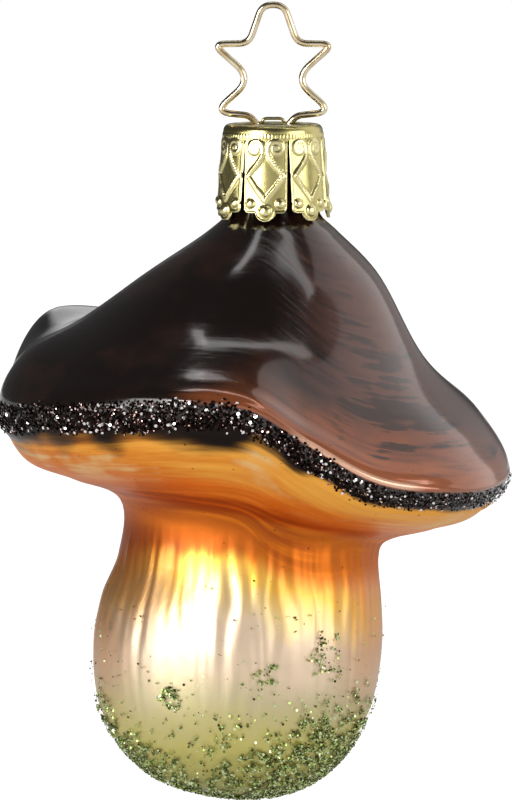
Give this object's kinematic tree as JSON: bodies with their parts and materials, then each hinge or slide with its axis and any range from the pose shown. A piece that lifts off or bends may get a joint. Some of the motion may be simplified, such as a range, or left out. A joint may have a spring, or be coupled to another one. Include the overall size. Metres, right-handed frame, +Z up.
{
  "type": "glass mushroom ornament",
  "caption": "Blown-glass mushroom ornament with a dark wavy cap, a pale stem, glued glitter, a stamped metal crown on its neck and a star-shaped wire hanger.",
  "frame": {"origin": "the point inside the top bend of the star where a hook carries the ornament", "axes": "+Z up along the neck, away from the stem; +X to the right of the picture, where the brim hangs lower; +Y away from the viewer"},
  "size_m": [0.0648, 0.0596, 0.1002],
  "materials": {
    "hanger_wire": "bright drawn wire",
    "crown_brass": "bright stamped sheet",
    "lacquered_glass": "silvered inside, brown gloss lacquer on the cap, orange to pearl satin lacquer below",
    "brown_glitter": "dark flake glitter in glue",
    "green_glitter": "green flake glitter in glue"
  },
  "bodies": {
    "hanger": {"star_hanger": "hanger_wire"},
    "crown": {"crown_cap": "crown_brass"},
    "glass": {"glass_body": "lacquered_glass", "rim_glitter_band": "brown_glitter", "moss_base": "green_glitter", "moss_patch_1": "green_glitter", "moss_patch_2": "green_glitter", "moss_patch_3": "green_glitter", "moss_patch_4": "green_glitter", "moss_patch_5": "green_glitter", "moss_patch_6": "green_glitter", "moss_patch_7": "green_glitter", "moss_patch_8": "green_glitter", "moss_patch_9": "green_glitter", "moss_patch_10": "green_glitter"}
  },
  "joints": [
    {"name": "hanger_lean", "type": "hinge", "parent": "hanger", "child": "crown", "pos_m": [0, 0, -0.0143], "axis": [1, 0, 0], "range_deg": [-5, 5]},
    {"name": "crown_pull", "type": "slide", "parent": "crown", "child": "glass", "axis": [0, 0, -1], "range_m": [0, 0.03]}
  ]
}
